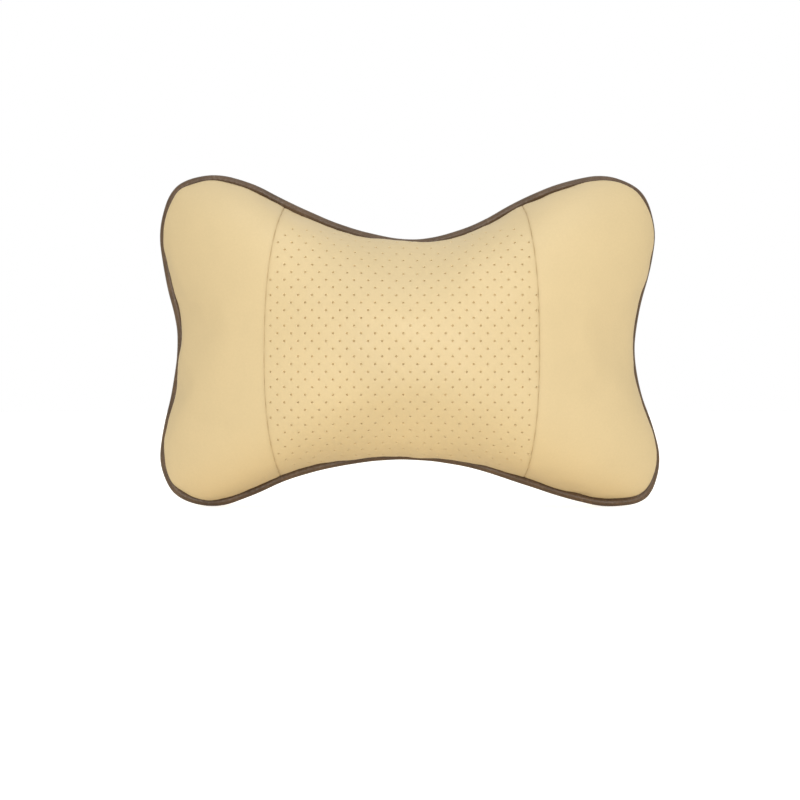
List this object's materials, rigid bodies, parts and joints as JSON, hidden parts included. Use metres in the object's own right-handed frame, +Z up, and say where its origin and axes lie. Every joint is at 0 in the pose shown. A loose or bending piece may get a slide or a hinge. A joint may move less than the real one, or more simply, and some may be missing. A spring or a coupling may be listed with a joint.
{
  "type": "headrest neck pillow",
  "caption": "Bone-shaped stuffed neck pillow in leatherette with a perforated centre, piped edge, back zip and an elastic band for a car headrest.",
  "frame": {"origin": "centre of the elastic band's flat outer face, at the middle of the back", "axes": "+X to the right seen from the front, along the pillow's length; +Y out of the back, towards the headrest; +Z up as worn on an upright headrest"},
  "size_m": [0.2701, 0.0971, 0.1791],
  "materials": {
    "leatherette": "smooth matte synthetic leather, fine grain",
    "perforated_leatherette": "smooth matte synthetic leather with rows of punched holes",
    "brown_leatherette": "satin brown synthetic leather",
    "sponge": "open-cell laminated sponge",
    "cotton_cord": "twisted cord",
    "inner_bag": "thin non-woven fabric",
    "fibre": "loose hollow fibre",
    "zip_tape": "woven tape",
    "zip_teeth": "moulded nylon",
    "bronze": "brushed antique bronze",
    "thread": "sewing thread",
    "elastic": "ribbed woven elastic"
  },
  "bodies": {
    "cover": {"front_left_panel": "leatherette", "front_centre_panel": "perforated_leatherette", "front_right_panel": "leatherette", "back_upper_panel": "leatherette", "back_lower_panel": "leatherette", "front_left_sponge": "sponge", "front_centre_sponge": "sponge", "front_right_sponge": "sponge", "back_upper_sponge": "sponge", "back_lower_sponge": "sponge", "piping_strip": "brown_leatherette", "piping_cord": "cotton_cord", "inner_bag_front": "inner_bag", "inner_bag_back": "inner_bag", "fibre_fill": "fibre", "zip_tape_upper": "zip_tape", "zip_tape_lower": "zip_tape", "zip_teeth_upper": "zip_teeth", "zip_teeth_lower": "zip_teeth", "zip_closed_end_stops": "bronze", "zip_open_end_stop": "bronze", "zip_stitching_upper": "thread", "zip_stitching_lower": "thread", "headrest_band": "elastic"},
    "slider": {"zip_slider": "bronze"},
    "pull_tab": {"zip_pull_tab": "bronze"}
  },
  "joints": [
    {"name": "zip_slide", "type": "slide", "parent": "cover", "child": "slider", "axis": [1, 0, 0], "range_m": [-0.116, 0], "deforming": ["zip_teeth_upper", "zip_teeth_lower"]},
    {"name": "pull_tab_hinge", "type": "hinge", "parent": "slider", "child": "pull_tab", "pos_m": [0.058, -0.005, -0.03], "axis": [0, 0, -1], "range_deg": [0, 150]}
  ]
}
